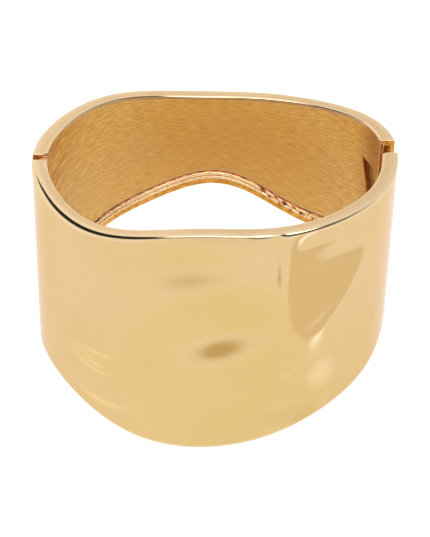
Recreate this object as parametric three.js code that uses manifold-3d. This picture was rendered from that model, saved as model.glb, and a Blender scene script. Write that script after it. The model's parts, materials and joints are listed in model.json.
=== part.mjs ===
// Wide hinged bangle in polished gold-coloured metal. Millimetres, +Z up.
//
// Two hollow halves close around the wrist: a tall front half with a softly dented
// face and a lower back half. Each half is a shell with folded rims and a liner plate
// set between the rims on the wrist side. A pin hinge joins them on the left, and on
// the right a spring tongue of the front half slides into the open end of the back one.
//
// Shapes are drawn in the bangle's own frame: z runs along the wrist hole with the rim
// near z = 0, +x points to the clasp and +y to the back. At the end the whole bangle is
// leaned back until it rests on the three lowest spots of its wavy lower edge.
import * as THREE from 'three';
import { mergeVertices } from 'three/addons/utils/BufferGeometryUtils.js';
import Module from 'manifold-3d';

const wasm = await Module();
wasm.setup();

// Outer face of the wall at sixteen places around the wrist: its reach from the axis,
// the height of the rim and the height of the lower edge (foot).
const stations = [
  { angle: 0, reach: 32.4, rim: 0.9, foot: -28.4 },
  { angle: 22.5, reach: 33.1, rim: 1.0, foot: -25.0 },
  { angle: 45, reach: 31.6, rim: 0.5, foot: -25.5 },
  { angle: 67.5, reach: 29.2, rim: 0.2, foot: -22.3 },
  { angle: 90, reach: 29.2, rim: -0.5, foot: -19.3 },
  { angle: 112.5, reach: 30.6, rim: -0.2, foot: -22.1 },
  { angle: 135, reach: 31.5, rim: 0.9, foot: -25.0 },
  { angle: 157.5, reach: 32.3, rim: 0.5, foot: -29.5 },
  { angle: 180, reach: 32.8, rim: 0.0, foot: -34.3 },
  { angle: 202.5, reach: 32.5, rim: -1.2, foot: -36.0 },
  { angle: 225, reach: 31.5, rim: -2.6, foot: -39.1 },
  { angle: 247.5, reach: 30.0, rim: -1.2, foot: -42.6 },
  { angle: 270, reach: 29.0, rim: 0.0, foot: -43.1 },
  { angle: 292.5, reach: 30.2, rim: 0.0, foot: -40.5 },
  { angle: 315, reach: 31.9, rim: 0.8, foot: -36.2 },
  { angle: 337.5, reach: 32.1, rim: 0.9, foot: -33.0 },
];

// Soft dents (deep > 0) and swellings (deep < 0) of the front face. turn and drop place
// the middle: degrees around the wrist and millimetres below the rim. wide and tall are
// half sizes along and across the band, tilt turns them anticlockwise seen from outside.
const dents = [
  { turn: 262, drop: 6.6, wide: 8.2, tall: 3.4, tilt: 2, deep: 0.26 },
  { turn: 272.2, drop: 18.9, wide: 9.0, tall: 5.2, tilt: 20, deep: 0.73 },
  { turn: 295.5, drop: 24.5, wide: 3.4, tall: 2.6, tilt: 10, deep: 0.1 },
  { turn: 314, drop: 4.3, wide: 5.0, tall: 2.5, tilt: 0, deep: -0.24 },
  { turn: 316, drop: 12.5, wide: 3.0, tall: 4.5, tilt: -40, deep: -0.1 },
  { turn: 227, drop: 26.0, wide: 6.5, tall: 1.6, tilt: -6, deep: 0.05 },
  { turn: 213, drop: 8.0, wide: 4.0, tall: 6.0, tilt: 0, deep: 0.35 },
];

// A flat facet beaten into the face: the turns of its two edges at the rim, and how far
// below the rim they meet. The left one is straight, the right one bows. soft rounds them.
const facet = { left: 294.8, right: 329, meet: 24.5, soft: 0.2 };
const faceRadius = 30;

// Wall section, measured inward from the outer face.
const bandThickness = 2.8;
const skinThickness = 0.55;
const linerOuterFace = 2.0;
const linerInnerFace = 2.55;
const rimPlate = 1.05;
const rimLip = 0.45; // the rim plate is this thin where it covers the liner
const footFlange = 2.7;
const drawIn = 0.006; // inward lean of the wall, millimetre for each millimetre down
const fadeBand = 4.2; // dents fade out this close to the rim and the lower edge
const gap = 0.3; // between pieces that sit against each other
const endWall = 0.8;

// Hinge on the left: five knuckles around one pin, three of them on the front half.
const hingeTurn = 183.1;
const pivotInset = 2.1; // pin axis behind the outer face
const hingeSlot = 1.7; // between the two ends when the bangle is shut
const knuckleRadius = 0.8;
const knuckleCount = 5;
const knuckleTop = -0.4;
const knuckleBottom = -33.4;
const webWidth = 1.0;
const boreRadius = 0.55;
const pinRadius = 0.3;

// Clasp on the right, not quite shut: y of the two ends, the tongue and the three-cornered
// window in the back liner that it slides behind. The tongue is bent on an arc around the
// hinge pin, so that it slides straight through the open end of the back half.
const frontEnd = 1.2;
const backEnd = 5.8;
const tongue = { radius: 61.75, thickness: 0.45, top: -6.0, bottom: -16.4, tip: 9.4 };
const tongueRoot = { length: 0.8, shoulder: 1.5 };
const windowCut = { turn: 19.5, top: -6.4, corners: [[-3.4, 0.18], [0, -8.1], [4.85, -0.67]] };

// How it stands: the direction that points up from the floor, seen in the bangle's frame,
// and the height of the bangle's origin over the floor. The lowest spots of the lower
// edge are worn flat by a few hundredths, so that they lie on the floor.
const upright = new THREE.Vector3(-0.0153, -0.3383, 0.9409).normalize();
const standHeight = 31.75;

const far = 80; // past every part of the bangle
const rad = THREE.MathUtils.degToRad;
const ends = new THREE.CatmullRomCurve3(
  stations.map((row) => new THREE.Vector3(row.reach, row.rim, row.foot)), true, 'catmullrom');

function station(turn) {
  const row = ends.getPoint(THREE.MathUtils.euclideanModulo(turn / 360, 1));
  return { reach: row.x, rim: row.y, foot: row.z };
}

function planPoint(turn) {
  const { reach } = station(turn);
  return new THREE.Vector2(Math.cos(rad(turn)), Math.sin(rad(turn))).multiplyScalar(reach);
}

// Unit vector from the outer face towards the wrist.
function inward(turn) {
  const along = planPoint(turn + 0.5).sub(planPoint(turn - 0.5)).normalize();
  return new THREE.Vector2(-along.y, along.x);
}

function wallPoint(turn, inset, height) {
  const lean = drawIn * (station(turn).rim - height);
  const plan = planPoint(turn).addScaledVector(inward(turn), inset + lean);
  return new THREE.Vector3(plan.x, plan.y, height);
}

function facetDepth(turn, height) {
  const { reach, rim } = station(turn);
  const right = facet.right - (facet.right - facet.left) * ((rim - height) / facet.meet) ** 2;
  const pastLeft = rad(turn - facet.left) * reach;
  const beforeRight = rad(right - turn) * reach;
  const inside = pastLeft > 0 && beforeRight > 0;
  const cut = Math.abs(pastLeft * beforeRight) / (2 * faceRadius) * (inside ? 1 : -1);
  return Math.abs(cut) < facet.soft ? (cut + facet.soft) ** 2 / (4 * facet.soft) : Math.max(cut, 0);
}

// How far the outer face lies behind its smooth shape at a place on the wall.
function dentDepth(turn, height) {
  const { reach, rim, foot } = station(turn);
  let depth = facetDepth(turn, height);
  for (const dent of dents) {
    const along = rad(turn - dent.turn) * reach;
    const up = rim - dent.drop - height;
    const u = (along * Math.cos(rad(dent.tilt)) - up * Math.sin(rad(dent.tilt))) / dent.wide;
    const v = (along * Math.sin(rad(dent.tilt)) + up * Math.cos(rad(dent.tilt))) / dent.tall;
    depth += dent.deep * Math.exp(-u * u - v * v);
  }
  const edge = Math.min(rim - height, height - foot);
  return depth * THREE.MathUtils.smoothstep(edge, 0, fadeBand);
}

// Closed solid through the wall sections of a half. outlineAt gives each section
// anticlockwise as (inset, height) points, always the same number of them.
function sweepWall(half, outlineAt) {
  const { from: fromTurn, to: toTurn } = half;
  const steps = Math.ceil((toTurn - fromTurn) / half.columnStep);
  const vertices = [];
  const triangles = [];
  let count = 0;
  let faces = [];
  for (let step = 0; step <= steps; step++) {
    const turn = THREE.MathUtils.lerp(fromTurn, toTurn, step / steps);
    const outline = outlineAt(turn, half);
    count = outline.length;
    if (step === 0) faces = THREE.ShapeUtils.triangulateShape(outline, []);
    outline.forEach((place) => vertices.push(...wallPoint(turn, place.x, place.y).toArray()));
  }
  for (let step = 0; step < steps; step++) {
    for (let i = 0; i < count; i++) {
      const here = step * count + i;
      const next = step * count + (i + 1) % count;
      triangles.push(here, next, next + count, here, next + count, here + count);
    }
  }
  for (const [a, b, c] of faces) {
    triangles.push(a, c, b);
    triangles.push(steps * count + a, steps * count + b, steps * count + c);
  }
  return new wasm.Manifold(new wasm.Mesh({
    numProp: 3,
    vertProperties: new Float32Array(vertices),
    triVerts: new Uint32Array(triangles),
  }));
}

function solidOf(geometry) {
  geometry.deleteAttribute('normal');
  geometry.deleteAttribute('uv');
  const merged = mergeVertices(geometry);
  return new wasm.Manifold(new wasm.Mesh({
    numProp: 3,
    vertProperties: merged.attributes.position.array,
    triVerts: new Uint32Array(merged.index.array),
  }));
}

function box(low, high) {
  const size = high.map((value, axis) => value - low[axis]);
  const middle = high.map((value, axis) => (value + low[axis]) / 2);
  return solidOf(new THREE.BoxGeometry(...size).translate(...middle));
}

function post(place, radius, bottom, top, sides) {
  const geometry = new THREE.CylinderGeometry(radius, radius, top - bottom, sides);
  return solidOf(geometry.rotateX(Math.PI / 2).translate(place.x, place.y, (top + bottom) / 2));
}

function rectangle(inset0, inset1, bottom, top) {
  return [[inset0, top], [inset0, bottom], [inset1, bottom], [inset1, top]]
    .map(([inset, height]) => new THREE.Vector2(inset, height));
}

// The shell's section: a thin dented skin with a flange at the rim and one at the foot.
function shellOutline(turn, { skinRows }) {
  const { rim, foot } = station(turn);
  const outline = [];
  for (let row = 0; row <= skinRows; row++) {
    const height = THREE.MathUtils.lerp(rim, foot, row / skinRows);
    outline.push(new THREE.Vector2(dentDepth(turn, height), height));
  }
  outline.push(new THREE.Vector2(bandThickness, foot));
  outline.push(new THREE.Vector2(bandThickness, foot + footFlange));
  for (let row = skinRows; row >= 0; row--) {
    const height = THREE.MathUtils.lerp(rim - rimPlate, foot + footFlange, row / skinRows);
    outline.push(new THREE.Vector2(skinThickness + dentDepth(turn, height), height));
  }
  outline.push(new THREE.Vector2(linerOuterFace - gap, rim - rimPlate));
  outline.push(new THREE.Vector2(linerOuterFace - gap, rim - rimLip));
  outline.push(new THREE.Vector2(bandThickness, rim - rimLip));
  outline.push(new THREE.Vector2(bandThickness, rim));
  return outline;
}

function linerOutline(turn) {
  const { rim, foot } = station(turn);
  const top = rim - rimLip - gap;
  return rectangle(linerOuterFace, linerInnerFace, foot + footFlange + gap, top);
}

// Wall that closes an end: it fills the shell's hollow out to the liner's inner face.
function endWallOutline(turn) {
  const { rim, foot } = station(turn);
  const cover = rimLip / 2;
  return rectangle(skinThickness / 2, linerInnerFace, foot + cover, rim - cover);
}

const pivot = wallPoint(hingeTurn, pivotInset, 0);
const front = {
  side: -1,
  from: 172,
  to: 372,
  hingeEnd: pivot.y - hingeSlot / 2,
  claspEnd: frontEnd,
  columnStep: 3, // degrees between wall sections
  skinRows: 16,
};
const back = {
  side: 1,
  from: 4,
  to: 188,
  hingeEnd: pivot.y + hingeSlot / 2,
  claspEnd: backEnd,
  columnStep: 4,
  skinRows: 8,
};

// The space on a half's own side of its two ends, each moved away from the seam.
function halfSpace(half, hingeInset, claspInset) {
  const hingeY = half.hingeEnd + half.side * hingeInset;
  const claspY = half.claspEnd + half.side * claspInset;
  const outerY = half.side * far;
  const left = box([-far, Math.min(hingeY, outerY), -far], [5, Math.max(hingeY, outerY), far]);
  const right = box([-5, Math.min(claspY, outerY), -far], [far, Math.max(claspY, outerY), far]);
  return left.add(right);
}

function endWallAt(half, onLeft) {
  const end = onLeft ? half.hingeEnd : half.claspEnd;
  const inner = end + half.side * endWall;
  const xRange = onLeft ? [-far, -5] : [5, far];
  const slice = box([xRange[0], Math.min(end, inner), -far], [xRange[1], Math.max(end, inner), far]);
  return sweepWall(half, endWallOutline).intersect(slice);
}

// Knuckles numbered from the top; the front half has the even ones. Each is soldered to
// its half by a web, and the pin passes through all of them.
function addHinge(half, shell) {
  const relief = post(pivot, knuckleRadius + gap, -far, far, 24);
  const bore = post(pivot, boreRadius, -far, far, 16);
  const pitch = (knuckleTop - knuckleBottom + gap) / knuckleCount;
  let body = shell.subtract(relief);
  for (let i = half === front ? 0 : 1; i < knuckleCount; i += 2) {
    const top = knuckleTop - i * pitch;
    const bottom = top - pitch + gap;
    const webEnd = half.hingeEnd + half.side * endWall / 2;
    const webLow = [pivot.x - webWidth / 2, Math.min(pivot.y, webEnd), bottom];
    const webHigh = [pivot.x + webWidth / 2, Math.max(pivot.y, webEnd), top];
    body = body.add(post(pivot, knuckleRadius, bottom, top, 20)).add(box(webLow, webHigh));
  }
  return body.subtract(bore);
}

function makeShell(half) {
  let shell = sweepWall(half, shellOutline).intersect(halfSpace(half, 0, 0));
  shell = shell.add(endWallAt(half, true));
  if (half === front) shell = shell.add(endWallAt(half, false)).subtract(tongueSlot());
  return addHinge(half, shell).trimByPlane(upright.toArray(), -standHeight);
}

function makeLiner(half) {
  const claspInset = half === front ? endWall + gap : 0;
  const liner = sweepWall(half, linerOutline);
  return liner.intersect(halfSpace(half, endWall + gap, claspInset));
}

// A stretch of the tongue's arc between two y places, thickened by a margin.
function tongueArc(fromY, toY, bottom, top, margin) {
  const start = Math.asin((fromY - pivot.y) / tongue.radius);
  const end = Math.asin((toY - pivot.y) / tongue.radius);
  const shape = new THREE.Shape();
  shape.absarc(0, 0, tongue.radius + tongue.thickness / 2 + margin, start, end, false);
  shape.absarc(0, 0, tongue.radius - tongue.thickness / 2 - margin, end, start, true);
  const depth = top - bottom;
  const plate = new THREE.ExtrudeGeometry(shape, { depth, bevelEnabled: false, curveSegments: 3 });
  return solidOf(plate.translate(pivot.x, pivot.y, bottom));
}

function tongueSlot() {
  const { top, bottom } = tongue;
  return tongueArc(frontEnd - endWall - gap, frontEnd + gap, bottom - gap, top + gap, gap);
}

// The tongue's wider root sits behind the front half's slotted end wall.
function makeTongue() {
  const { top, bottom, tip } = tongue;
  const { length, shoulder } = tongueRoot;
  const rootFront = frontEnd - endWall - gap - length;
  const root = tongueArc(rootFront, rootFront + length, bottom - shoulder, top + shoulder, 0);
  return root.add(tongueArc(rootFront, tip, bottom, top, 0));
}

function windowPrism() {
  const corners = windowCut.corners.map(([along, up]) => new THREE.Vector2(along, up));
  const triangle = new THREE.Shape(corners);
  const depth = 3;
  const prism = new THREE.ExtrudeGeometry(triangle, { depth, bevelEnabled: false });
  const toWrist = inward(windowCut.turn);
  const middle = wallPoint(windowCut.turn, (linerOuterFace + linerInnerFace) / 2, windowCut.top);
  const across = new THREE.Vector3(toWrist.x, toWrist.y, 0);
  const up = new THREE.Vector3(0, 0, 1);
  const place = new THREE.Matrix4().makeBasis(up.clone().cross(across), up, across);
  prism.translate(0, 0, -depth / 2).applyMatrix4(place).translate(middle.x, middle.y, middle.z);
  return solidOf(prism);
}

const polishedGold = new THREE.MeshStandardMaterial({ color: 0xe8c890, metalness: 1, roughness: 0.12 });
const brushedGold = new THREE.MeshStandardMaterial({ color: 0xc8914b, metalness: 1, roughness: 0.42 });
const pinGold = new THREE.MeshStandardMaterial({ color: 0xd8b070, metalness: 1, roughness: 0.25 });

const bangle = new THREE.Group();

function addNode(name, solid, material) {
  const { vertProperties, triVerts } = solid.getMesh();
  const geometry = new THREE.BufferGeometry();
  geometry.setAttribute('position', new THREE.BufferAttribute(vertProperties, 3));
  geometry.setIndex(new THREE.BufferAttribute(triVerts, 1));
  geometry.computeVertexNormals();
  const mesh = new THREE.Mesh(geometry, material);
  mesh.name = name;
  bangle.add(mesh);
}

const backLiner = makeLiner(back).subtract(windowPrism());
addNode('back_shell', makeShell(back), polishedGold);
addNode('back_liner', backLiner, brushedGold);
addNode('hinge_pin', post(pivot, pinRadius, knuckleBottom, knuckleTop, 12), pinGold);
addNode('front_shell', makeShell(front), polishedGold);
addNode('front_liner', makeLiner(front), brushedGold);
addNode('clasp_tongue', makeTongue(), polishedGold);

// Stand it on the floor with the middle of its bounds over the origin.
bangle.quaternion.setFromUnitVectors(upright, new THREE.Vector3(0, 0, 1));
bangle.position.z = standHeight;
const bounds = new THREE.Box3().setFromObject(bangle, true);
const middle = bounds.getCenter(new THREE.Vector3());
bangle.position.set(-middle.x, -middle.y, standHeight);

const part = new THREE.Group();
part.add(bangle);

export default part;
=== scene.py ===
import json
import math

import bmesh
import bpy
import numpy as np
from mathutils import Matrix, Vector


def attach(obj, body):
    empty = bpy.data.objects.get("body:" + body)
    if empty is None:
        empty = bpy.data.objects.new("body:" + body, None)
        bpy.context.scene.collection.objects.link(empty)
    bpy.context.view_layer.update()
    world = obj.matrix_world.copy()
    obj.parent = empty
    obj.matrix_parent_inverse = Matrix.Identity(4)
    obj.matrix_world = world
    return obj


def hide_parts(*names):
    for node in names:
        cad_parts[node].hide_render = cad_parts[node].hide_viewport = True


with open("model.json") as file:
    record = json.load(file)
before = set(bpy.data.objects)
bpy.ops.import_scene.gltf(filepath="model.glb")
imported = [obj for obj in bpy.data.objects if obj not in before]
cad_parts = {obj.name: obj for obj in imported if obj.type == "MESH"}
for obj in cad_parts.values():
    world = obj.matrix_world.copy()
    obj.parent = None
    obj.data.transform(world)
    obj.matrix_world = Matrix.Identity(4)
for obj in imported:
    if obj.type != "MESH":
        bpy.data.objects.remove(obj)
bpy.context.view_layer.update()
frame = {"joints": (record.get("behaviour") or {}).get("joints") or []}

# ---- how the bangle stands
# Everything is drawn in the bangle's own frame in millimetres: z runs along the wrist hole
# with the rim near z = 0, +x points to the clasp and +y to the back. The hinge pin lies
# along that z, so its joint says how the bangle leans on its wavy lower edge.
MM = 0.001
PIN_MIDDLE = Vector((-30.6614, -1.6571, -16.9))
hinge_joint = frame["joints"][0]
own_axis = -Vector(hinge_joint["axis"])
lean = Vector((0, 0, 1)).rotation_difference(own_axis).to_matrix()
own_origin = Vector(hinge_joint["pos_m"]) - lean @ (PIN_MIDDLE * MM)
FLOOR_CLEARANCE = 0.00002


def to_row_frame(points_mm):
    """Own-frame millimetres to row-frame metres, with nothing below the floor."""
    placed = np.asarray(points_mm, float) * MM @ np.array(lean).T + np.array(own_origin)
    placed[:, 2] = np.maximum(placed[:, 2], FLOOR_CLEARANCE)
    return placed


# ---- front band
# The tall front half: a pressed brass skin with a rim plate and a rolled foot, gold plated
# and polished to a mirror, with soft dents hammered into its face. Its edges are rounded.
STATIONS = (
    # turn, reach, rim, foot: degrees round the wrist, then millimetres
    (0.0, 32.4, 0.9, -28.4),
    (22.5, 33.1, 1.0, -25.0),
    (45.0, 31.6, 0.5, -25.5),
    (67.5, 29.2, 0.2, -22.3),
    (90.0, 29.2, -0.5, -19.3),
    (112.5, 30.6, -0.2, -22.1),
    (135.0, 31.5, 0.9, -25.0),
    (157.5, 32.3, 0.5, -29.5),
    (180.0, 32.8, 0.0, -34.3),
    (202.5, 32.5, -1.2, -36.0),
    (225.0, 31.5, -2.6, -39.1),
    (247.5, 30.0, -1.2, -42.6),
    (270.0, 29.0, 0.0, -43.1),
    (292.5, 30.2, 0.0, -40.5),
    (315.0, 31.9, 0.8, -36.2),
    (337.5, 32.1, 0.9, -33.0),
)
DENTS = (
    # turn, drop, wide, tall, tilt, deep: place below the rim, half sizes, turn of the dent
    (262, 6.6, 8.2, 3.4, 2, 0.26),
    (272.2, 18.9, 9.0, 5.2, 20, 0.73),
    (295.5, 24.5, 3.4, 2.6, 10, 0.10),
    (314, 4.3, 5.0, 2.5, 0, -0.24),
    (316, 12.5, 3.0, 4.5, -40, -0.10),
    (227, 26.0, 6.5, 1.6, -6, 0.05),
    (213, 8.0, 4.0, 6.0, 0, 0.35),
)
# One flat facet: the turns of its straight left and bowed right edge at the rim, the drop
# below the rim where they meet, and how softly the edges round over.
FLAT_LEFT = 294.8
FLAT_RIGHT = 329.0
FLAT_MEET = 24.5
FLAT_SOFT = 0.2
RIM_ROUNDING = (
    # turn, radius of the rim's outer rounding
    (20, 0.35),
    (90, 0.3),
    (170, 0.35),
    (190, 0.7),
    (202, 1.1),
    (216, 1.1),
    (230, 0.8),
    (245, 0.5),
    (256, 0.3),
    (280, 0.3),
    (283, 0.55),
    (287, 0.55),
    (289, 0.15),
    (291, 0.15),
    (293, 0.6),
    (310, 0.5),
    (322, 0.25),
    (340, 0.2),
    (370, 0.3),
)
# The wall draws in toward the foot by this share of its height. Dents fade out over a band
# beside each edge. The facet cuts a face of about this radius, the mean reach turns degrees
# into millimetres along the girth, and the last is the turn of the front's middle.
DRAW_IN = 0.006
FADE_BAND = 4.2
FACE_RADIUS = 30
MEAN_REACH = 31
FRONT_TURN = 270.0
# Depths measured inward from the outer face, and heights under the rim or over the foot.
WALL = 2.8
SKIN = 0.55
LINER_OUTER = 2.0
LINER_INNER = 2.55
RIM_LIP = 0.42
RIM_PLATE = 1.05
FOOT_FLANGE = 2.7
SEAM = 0.04


def station_curve(column):
    """Smooth closed curve through one column of the station table."""
    waves = np.fft.rfft([row[column] for row in STATIONS]) / len(STATIONS)
    waves[1:-1] *= 2

    def value(turn):
        angle = np.radians(np.asarray(turn, float))[..., None]
        order = np.arange(len(waves))
        return (waves * np.exp(1j * order * angle)).real.sum(-1)

    return value


reach_at, rim_at, foot_at = (station_curve(column) for column in (1, 2, 3))


def rim_rounding_at(turn):
    turns, radii = zip(*RIM_ROUNDING)
    return np.interp(turn, turns, radii, period=360)


def plan_point(turn):
    angle = np.radians(turn)
    return np.stack([np.cos(angle), np.sin(angle)], -1) * reach_at(turn)[..., None]


def wall_point(turn, inset, height):
    """Place in the wall: inset is measured inward from the smooth outer face."""
    aside = 0.25
    along = plan_point(turn + aside) - plan_point(turn - aside)
    along /= np.linalg.norm(along, axis=-1, keepdims=True)
    inward = np.stack([-along[..., 1], along[..., 0]], -1)
    leaned = inset + DRAW_IN * (rim_at(turn) - height)
    plan = plan_point(turn) + inward * leaned[..., None]
    return np.concatenate([plan, height[..., None]], -1)


def smooth_step(value, low, high):
    share = np.clip((value - low) / (high - low), 0, 1)
    return share * share * (3 - 2 * share)


def dent_depth(turn, height):
    """How far the polished face lies behind its smooth shape."""
    rim, foot, reach = rim_at(turn), foot_at(turn), reach_at(turn)
    depth = np.zeros_like(height)
    for dent_turn, drop, wide, tall, tilt, deep in DENTS:
        along = np.radians(turn - dent_turn) * reach
        up = rim - drop - height
        cos, sin = math.cos(math.radians(tilt)), math.sin(math.radians(tilt))
        u = (along * cos - up * sin) / wide
        v = (along * sin + up * cos) / tall
        depth += deep * np.exp(-u * u - v * v)
    right = FLAT_RIGHT - (FLAT_RIGHT - FLAT_LEFT) * ((rim - height) / FLAT_MEET) ** 2
    past_left = np.radians(turn - FLAT_LEFT) * reach
    before_right = np.radians(right - turn) * reach
    cut = abs(past_left * before_right) / (2 * FACE_RADIUS)
    cut *= np.where(past_left + before_right > 0, np.sign(past_left * before_right), -1)
    rounded = (cut + FLAT_SOFT) ** 2 / (4 * FLAT_SOFT)
    depth += np.where(abs(cut) < FLAT_SOFT, rounded, np.maximum(cut, 0))
    edge = np.minimum(rim - height, height - foot)
    return depth * smooth_step(edge, 0, FADE_BAND)


# Casting pits eat into the foot's beads on one stretch behind the clasp. Where they are
# deeper than this, they take the dark red of painted shade.
PIT_SHADE_DEPTH = 0.13
PITS = (
    # turn, height over the foot, radius, depth
    (69.5, 2.1, 0.45, 0.45),
    (67.0, 1.5, 0.25, 0.25),
    (64.0, 2.2, 0.35, 0.35),
    (62.5, 1.3, 0.25, 0.30),
    (60.5, 1.9, 0.45, 0.45),
    (58.0, 1.2, 0.25, 0.25),
    (56.5, 2.1, 0.35, 0.35),
    (53.5, 1.6, 0.35, 0.30),
    (50.5, 2.2, 0.25, 0.25),
    (48.5, 1.3, 0.30, 0.30),
    (45.0, 1.9, 0.30, 0.25),
)


def pit_depth(turn, height):
    rise = height - foot_at(turn)
    depth = np.zeros_like(height)
    for pit_turn, pit_rise, radius, deep in PITS:
        along = np.radians(turn - pit_turn) * reach_at(turn)
        depth += deep * np.exp(-((along**2 + (rise - pit_rise) ** 2) / radius**2))
    return depth


# The finishes of a band's faces, in the order of its materials.
POLISHED, BEADED, HOLLOW, PAINTED_SHADE, STAIN_AND_SHADE = 0, 1, 2, 3, 4
# The rows of an outline's array that are read one by one.
INSET, PITTED, EDGE, FINISH = 0, 4, 6, 7


class Outline:
    """Closed section of a wall, anticlockwise as (inset, height). A height is a share of the
    way from foot to rim plus a lift. Dented points follow the dents of the face, pitted ones
    the pits of the foot, and rounded ones are drawn for a rim rounding of one millimetre."""

    def __init__(self):
        self.rows = []
        self.dented = self.pitted = self.rounded = self.finish = 0

    def point(self, inset, share, lift, edge=0):
        kind = (self.dented, self.pitted, self.rounded, edge, self.finish)
        self.rows.append((inset, share, lift, *kind))

    def line(self, start, end, count):
        """Points from one (inset, share, lift) up to, but not including, another."""
        for step in range(count):
            self.point(*(a + (b - a) * step / count for a, b in zip(start, end)))

    def arc(self, middle, share, radius, from_angle, to_angle, count):
        """Rounding about (inset, lift), with angles from the inset axis towards up."""
        for step in range(count + 1):
            angle = math.radians(from_angle + (to_angle - from_angle) * step / count)
            inset = middle[0] + radius * math.cos(angle)
            self.point(inset, share, middle[1] + radius * math.sin(angle), 1)

    def arrays(self):
        return np.array(self.rows, float).T


def section_at(outline, turn):
    """(inset, height) of each outline point at its own turn."""
    inset, share, lift, dented, pitted, rounded = outline[:6]
    growth = 1 + rounded * (rim_rounding_at(turn) - 1)
    height = foot_at(turn) + share * (rim_at(turn) - foot_at(turn)) + lift * growth
    moved = dented * dent_depth(turn, height) - pitted * pit_depth(turn, height)
    return inset * growth + moved, height


# The inset where a slanted end begins to fall back.
SLANT_START = 1.9


def end_plane(outline, end):
    """y of a band's end at each outline point. A slant cuts off the corner by the wrist, and
    a corner cuts off the one by the outer face."""
    y, _, slant, corner = (*end, 0, 0)[:4]
    by_wrist = np.maximum(0, outline[INSET] - SLANT_START)
    by_face = np.maximum(0, 1 - outline[INSET] / SKIN)
    return y + slant * by_wrist + corner * by_face


def turn_on_plane(outline, y, near):
    """The turn at which each outline point meets the plane of that y, by Newton's steps."""
    turn = np.full(outline.shape[1], float(near))
    nudge, steps = 0.1, 12
    for _ in range(steps):
        here = wall_point(turn, *section_at(outline, turn))[:, 1]
        nudged = wall_point(turn + nudge, *section_at(outline, turn + nudge))[:, 1]
        turn += (y - here) / (nudged - here) * nudge
    return turn


def drawn_in(inset, height, distance):
    """The same closed outline, moved into its own metal by a distance."""
    places = np.stack([inset, height], -1)
    ahead = np.roll(places, -1, 0) - places
    ahead /= np.linalg.norm(ahead, axis=1, keepdims=True)
    behind = np.roll(ahead, 1, 0)
    left = np.stack([-ahead[:, 1] - behind[:, 1], ahead[:, 0] + behind[:, 0]], -1)
    left /= np.linalg.norm(left, axis=1, keepdims=True)
    stretch = np.clip((left * np.stack([-ahead[:, 1], ahead[:, 0]], -1)).sum(1), 0.5, 1)
    moved = places + left * (distance / stretch)[:, None]
    return moved[:, 0], moved[:, 1]


# Edges sharper than this stay crisp.
SHARP_EDGE = math.radians(38)


def add_mesh(name, points_mm, faces, worn, uv=None, finishes=None):
    """New piece. Worn marks the points that rub bare, finishes the material of each face."""
    mesh = bpy.data.meshes.new(name)
    mesh.from_pydata(to_row_frame(points_mm).tolist(), [], faces)
    if uv is not None:
        layer = mesh.uv_layers.new(name="wall_mm")
        layer.data.foreach_set("uv", np.asarray(uv, np.float32).ravel())
    marks = mesh.attributes.new("worn", "FLOAT", "POINT")
    marks.data.foreach_set("value", np.asarray(worn, np.float32))
    if finishes is not None:
        mesh.polygons.foreach_set("material_index", finishes)
    mesh.polygons.foreach_set("use_smooth", [True] * len(mesh.polygons))
    mesh.set_sharp_from_angle(angle=SHARP_EDGE)
    mesh.update()
    piece = bpy.data.objects.new(name, mesh)
    bpy.context.scene.collection.objects.link(piece)
    return piece


def band_rings(outline, start, end, sign, edge, edge_steps, column_width):
    """Rings of points from end to end with the last few drawn in to round the ends, the
    place of each along the girth, and which of its points lie in a pit deep enough for painted
    shade."""
    # Along the wall y grows with the turn on the clasp side, and falls on the hinge side.
    y_rise = [1 if math.cos(math.radians(near)) > 0 else -1 for near in (start[1], end[1])]
    first_y = end_plane(outline, start) + sign * y_rise[0] * edge
    last_y = end_plane(outline, end) - sign * y_rise[1] * edge
    first = turn_on_plane(outline, first_y, start[1])
    last = turn_on_plane(outline, last_y, end[1])
    arc_length = np.radians(abs(last - first).mean()) * reach_at(np.array(FRONT_TURN))
    columns = max(2, int(arc_length / column_width))
    rings, girth, pitted = [], [], []
    for column in range(columns + 1):
        turn = first + (last - first) * column / columns
        inset, height = section_at(outline, turn)
        rings.append(wall_point(turn, inset, height))
        pitted.append(outline[PITTED] * pit_depth(turn, height) > PIT_SHADE_DEPTH)
        girth.append(np.radians(turn.mean()) * MEAN_REACH)
    for at_end, here in enumerate((start, end)):
        inward_y = (-1 if at_end else 1) * sign * y_rise[at_end]
        for step in range(1, edge_steps + 1):
            angle = math.pi / 2 * step / edge_steps
            plane = end_plane(outline, here) + inward_y * edge * (1 - math.sin(angle))
            turn = turn_on_plane(outline, plane, here[1])
            inset, height = section_at(outline, turn)
            inset, height = drawn_in(inset, height, edge * (1 - math.cos(angle)))
            ring = wall_point(turn, inset, height)
            ring[:, 1] = plane
            place = len(rings) if at_end else 0
            rings.insert(place, ring)
            girth.insert(place, girth[-1 if at_end else 0])
            pitted.insert(place, np.zeros(len(height)))
    return rings, girth, pitted, (first + last) / 2


# How far wear spreads from a rounded edge.
WORN_REACH = 0.15


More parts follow.
